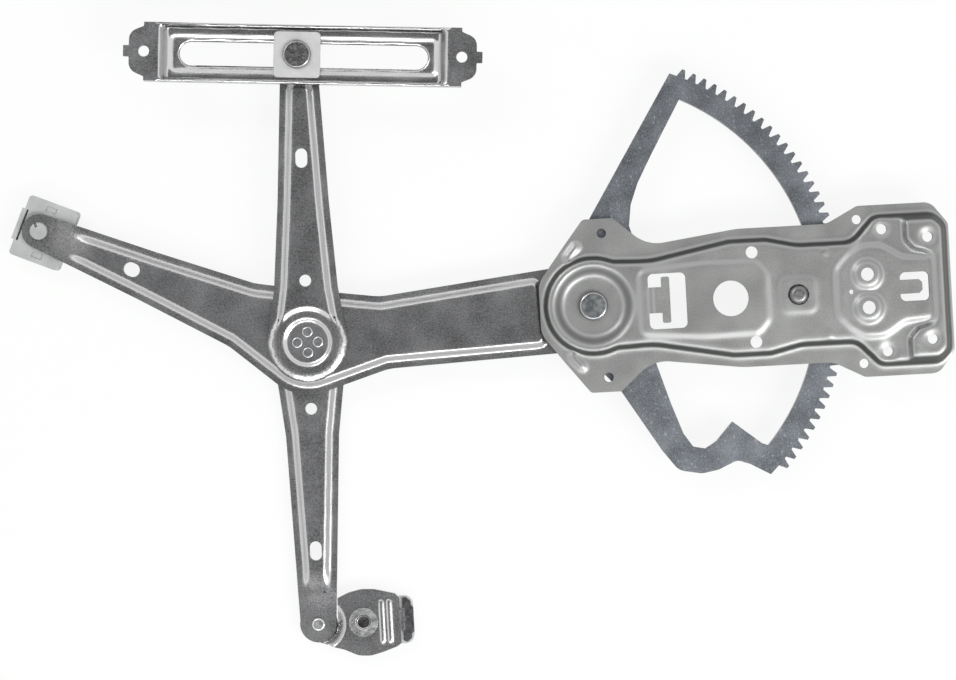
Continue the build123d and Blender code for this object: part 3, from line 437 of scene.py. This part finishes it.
def drawSheet(nodeName, finishName, press):
    # Move both skins to their softened heights and shade them by the softened slopes
    shape = mergedCopy(nodeName)
    low = Vector([min(vert.co[axis] for vert in shape.verts) for axis in range(3)])
    high = Vector([max(vert.co[axis] for vert in shape.verts) for axis in range(3)])
    tree = BVHTree.FromBMesh(shape)
    step, jump = press["step"], press["jump"]
    gridCuts(shape, low, high, press["cell"])
    bmesh.ops.remove_doubles(shape, verts=shape.verts, dist=drawing["cutMerge"])
    shape.verts.ensure_lookup_table()
    points = np.array([vert.co[:] for vert in shape.verts])
    leans = [[face.normal.z for face in vert.link_faces] for vert in shape.verts]
    normals = {}
    for side in (1, -1):
        raw = skinHeights(tree, low, high, step, side)
        smooth = softened(raw, step, press["bend"], jump)[0]
        smooth = fadedOut(raw, smooth, low, step, jump, press.get("fades", ()))
        if press["roll"] > 0 and (side > 0 or press["lip"]):
            smooth = smooth - rolledEdge(raw, step, press)
        fields = [smooth] + [slopeOf(raw, smooth, step, jump, axis) for axis in (1, 0)]
        values, found = readSkin(raw, fields, low, step, points, jump)
        found &= np.array([
            bool(lean) and max(side * z for z in lean) > drawing["skinLean"] for lean in leans
        ])
        for index in np.nonzero(found)[0]:
            height, slopeX, slopeY = values[index]
            shape.verts[index].co.z = height
            normals[int(index), side] = Vector((-slopeX, -slopeY, 1)).normalized() * side
    bmesh.ops.triangulate(shape, faces=shape.faces)
    shape.normal_update()
    for edge in shape.edges:
        edge.smooth = edge.calc_face_angle(0) < press["crease"]
    print("sheet drawn:", nodeName, len(shape.faces), "triangles")
    piece = placePiece(shape, nodeName, finishName)
    none = Vector((0, 0, 0))
    loopNormals = [none] * len(piece.data.loops)
    for polygon in piece.data.polygons:
        side = 1 if polygon.normal.z > 0 else -1
        if abs(polygon.normal.z) > drawing["flatLean"]:
            for loop in polygon.loop_indices:
                loopNormals[loop] = normals.get((piece.data.loops[loop].vertex_index, side), none)
    piece.data.normals_split_custom_set(loopNormals)


# bend: reach of the soft bends; step: grid of the heights; cell: grid of the cuts; jump:
# the tallest step that is still one skin; crease: where shading breaks; roll, rollWidth
# and rollReach: how far, how near and how far out edges roll down; lip: the under skin
# rolls too; fades: centre, radius and bend of each bead's run-out
armPress = dict(
    bend=0.0010, step=0.0005, cell=0.0014, jump=0.0045, crease=radians(52), roll=0, lip=False
)
headPress = dict(
    bend=0.0004, step=0.0002, cell=0.0005, jump=0.0006, crease=radians(52), roll=0.0006,
    rollWidth=0.0008, rollReach=1.0, lip=False,
)
railPress = dict(
    bend=0.0011, step=0.00025, jump=0.0030, roll=0.0009, rollWidth=0.0012, rollReach=0.081,
    lip=True,
)
shoeEnd = dict(fades=((-0.3657, 0.0525, 0.020, 0.0085),))
bracketEnd = dict(fades=((-0.2353, -0.1525, 0.018, 0.0085),))
presses = {
    "base_plate": ("plateZinc", {**armPress, "bend": 0.0019, "cell": 0.0012, "jump": 0.0028}),
    "upper_arm": ("armZinc", armPress),
    "lower_arm": ("armZinc", {**armPress, **bracketEnd}),
    "lift_arm": ("armZinc", {**armPress, **shoeEnd}),
    "guide_rail": ("armZinc", {**armPress, **railPress}),
    "glass_bracket": ("armZinc", {**armPress, "bend": 0.0008, "cell": 0.0010, "step": 0.0004}),
    "stop_stud": ("studSteel", {**headPress, "roll": 0.0018, "rollWidth": 0.0024}),
    "main_pivot": ("rivetSteel", {**headPress, "rollWidth": 0.0007}),
    "rail_pin": ("pinSteel", headPress),
    "bracket_rivet": ("nutSteel", {**headPress, "rollWidth": 0.0010}),
    "cross_rivets": ("washerSteel", {**headPress, "roll": 0.0004, "rollWidth": 0.0006}),
}
for nodeName, (finishName, press) in presses.items():
    drawSheet(nodeName, finishName, press)

# Finish of the other sub-parts, and the width of their rounded edges in millimetres
rounding = {"flatAngle": 0.3, "sharpAngle": 28, "segments": 2, "profile": 0.5, "weight": 80}
dressing = {
    "pivot_washer": ("washerSteel", 0.1),
    "spring_washer": ("washerSteel", 0.1),
    "sector_gear": ("gearSteel", 0.15),
    "hub_rivets": ("rivetSteel", 0.2),
    "cross_bush": ("washerSteel", 0.2),
    "cross_ring": ("sliderPlastic", 0.15),
    "slide_block": ("sliderPlastic", 0.3),
    "slide_retainer": ("sliderPlastic", 0.2),
    "glass_shoe": ("shoePlastic", 0.4),
    "bracket_washer": ("washerSteel", 0.1),
    "nut_insert": ("nutSteel", 0.3),
    "glass_pad": ("sliderPlastic", 0.4),
    "retaining_clip": ("clipSteel", 0.15),
}


def roundEdges(nodeName, finishName, width):
    # Bevel the sharp edges of a merged copy and keep its flats flat
    shape = mergedCopy(nodeName)
    bmesh.ops.dissolve_limit(
        shape, angle_limit=radians(rounding["flatAngle"]), verts=shape.verts, edges=shape.edges,
        use_dissolve_boundaries=False,
    )
    sharpAngle = radians(rounding["sharpAngle"])
    sharp = [edge for edge in shape.edges if edge.calc_face_angle(0) > sharpAngle]
    bmesh.ops.bevel(
        shape, geom=sharp, offset=width / 1000, offset_type="OFFSET",
        segments=rounding["segments"], profile=rounding["profile"],
        affect="EDGES", clamp_overlap=True, material=-1,
    )
    bmesh.ops.triangulate(shape, faces=shape.faces)
    shape.normal_update()
    piece = placePiece(shape, nodeName, finishName)
    shading = piece.modifiers.new("shading", "WEIGHTED_NORMAL")
    shading.weight = rounding["weight"]


for nodeName, (finishName, width) in dressing.items():
    roundEdges(nodeName, finishName, width)
print("sub-parts dressed")

# Dark floor at the back end of the nut insert's bore
nutFloor = {"radius": 0.0034, "thickness": 0.0008, "rise": 0.0006, "sides": 48}
nutLow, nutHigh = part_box("nut_insert")
floorShape = bmesh.new()
bmesh.ops.create_cone(
    floorShape, cap_ends=True, cap_tris=False, segments=nutFloor["sides"],
    depth=nutFloor["thickness"],
    radius1=nutFloor["radius"], radius2=nutFloor["radius"],
    matrix=Matrix.Translation(
        ((nutLow.x + nutHigh.x) / 2, (nutLow.y + nutHigh.y) / 2, nutLow.z + nutFloor["rise"])
    ),
)
floorMesh = bpy.data.meshes.new("nutFloor")
floorShape.to_mesh(floorMesh)
floorShape.free()
floorMesh.materials.append(materials["pinSteel"])
floorPiece = bpy.data.objects.new("nutFloor", floorMesh)
bpy.context.scene.collection.objects.link(floorPiece)
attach(floorPiece, body_of(nodes["nut_insert"])[0])
print("nut floor placed")

# White table with a low round backdrop
stage = {
    "tableSize": 6.0, "middle": (-0.14, -0.01, 0),
    "wallRadius": 2.9, "wallHeight": 1.0, "wallSides": 96,
    "paper": (0.80, 0.805, 0.80, 1), "paperRough": 0.9,
    "seenPaper": (0.985, 0.995, 0.985, 1), "seenWhite": 0.88,
}
middle = Vector(stage["middle"])
lowest = min(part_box(name)[0].z for name in nodes)
bpy.ops.mesh.primitive_plane_add(size=stage["tableSize"], location=(0, 0, 0))
table = bpy.context.object
table.name = "table"
table.data.transform(Matrix.Translation((middle.x, middle.y, lowest)))
wallShape = bmesh.new()
bmesh.ops.create_cone(
    wallShape, cap_ends=False, segments=stage["wallSides"], depth=stage["wallHeight"],
    radius1=stage["wallRadius"], radius2=stage["wallRadius"],
    matrix=Matrix.Translation((middle.x, middle.y, lowest + stage["wallHeight"] / 2)),
)
bmesh.ops.reverse_faces(wallShape, faces=wallShape.faces)
wallMesh = bpy.data.meshes.new("backdrop")
wallShape.to_mesh(wallMesh)
wallShape.free()
backdrop = bpy.data.objects.new("backdrop", wallMesh)
bpy.context.scene.collection.objects.link(backdrop)
tableMaterial, tableTree, tableShader = newMaterial("tablePaper")
tableShader.inputs["Base Color"].default_value = stage["paper"]
tableShader.inputs["Roughness"].default_value = stage["paperRough"]
paleGlow = tableTree.nodes.new("ShaderNodeEmission")
paleGlow.inputs["Color"].default_value = stage["seenPaper"]
rays = tableTree.nodes.new("ShaderNodeLightPath").outputs
seen = sums(tableTree, "MAXIMUM", rays["Is Camera Ray"], rays["Is Glossy Ray"])
seen = sums(tableTree, "MAXIMUM", seen, rays["Is Transmission Ray"])
blendIn = tableTree.nodes.new("ShaderNodeMixShader")
tableTree.links.new(sums(tableTree, "MULTIPLY", seen, stage["seenWhite"]), blendIn.inputs[0])
tableTree.links.new(tableShader.outputs[0], blendIn.inputs[1])
tableTree.links.new(paleGlow.outputs[0], blendIn.inputs[2])
tableTree.links.new(blendIn.outputs[0], tableTree.nodes["Material Output"].inputs["Surface"])
table.data.materials.append(tableMaterial)
wallMesh.materials.append(tableMaterial)
print("table and backdrop ready")

# The room: a bright ring between a darker ceiling and darker walls, by height share
roomLight = {
    "overhead": (0.30, 0.305, 0.31), "ring": (0.95, 0.95, 0.95), "walls": (0.30, 0.30, 0.30),
    "ringHeight": (0.97, 0.75, 0.55, 0.25),
}
world = bpy.data.worlds.new("studio")
bpy.context.scene.world = world
world.use_nodes = True
worldTree = world.node_tree
direction = worldTree.nodes.new("ShaderNodeTexCoord")
split = worldTree.nodes.new("ShaderNodeSeparateXYZ")
worldTree.links.new(direction.outputs["Generated"], split.inputs[0])
highest, ringTop, ringFoot, lowestRing = roomLight["ringHeight"]
ceilingShare = spread(worldTree, split.outputs["Z"], 0, 1, ringTop, highest)
upper = tint(worldTree, ceilingShare, roomLight["ring"], roomLight["overhead"])
wallShare = spread(worldTree, split.outputs["Z"], 1, 0, lowestRing, ringFoot)
room = tint(worldTree, wallShare, upper, roomLight["walls"])
worldTree.links.new(room, worldTree.nodes["Background"].inputs["Color"])

# Soft boxes round the table: turn from +X and height angle in degrees, size and power
lampDistance = 1.5
lamps = {
    "boxLowerRight": (-40, 42, (0.9, 0.5), 13),
    "boxUpperLeft": (130, 40, (0.8, 0.3), 5),
    "boxBelow": (-100, 44, (0.8, 0.4), 4),
}
for lampName, (turn, height, size, power) in lamps.items():
    way = Vector((1, 0, 0))
    way.rotate(Euler((0, -radians(height), 0)))
    way.rotate(Euler((0, 0, radians(turn))))
    lamp = bpy.data.objects.new(lampName, bpy.data.lights.new(lampName, "AREA"))
    lamp.data.shape = "RECTANGLE"
    lamp.data.size, lamp.data.size_y = size
    lamp.data.energy = power
    lamp.location = middle + way * lampDistance
    lamp.rotation_euler = (-way).to_track_quat("-Z", "Z").to_euler()
    bpy.context.scene.collection.objects.link(lamp)
print("light ready")

# Camera straight above: the frame's width, turn and centre are the photograph's
view = {
    "height": 1.12, "frameWidth": 0.520, "turn": 3.1, "centre": (-0.1396, -0.0151),
    "sensorWidth": 36,
}
camera = bpy.data.objects.new("camera", bpy.data.cameras.new("camera"))
bpy.context.scene.collection.objects.link(camera)
camera.data.sensor_width = view["sensorWidth"]
camera.data.lens = view["sensorWidth"] * view["height"] / view["frameWidth"]
camera.location = (*view["centre"], view["height"])
camera.rotation_euler = (0, 0, -radians(view["turn"]))
bpy.context.scene.camera = camera
bpy.context.scene.view_settings.view_transform = "Standard"
print("camera ready")
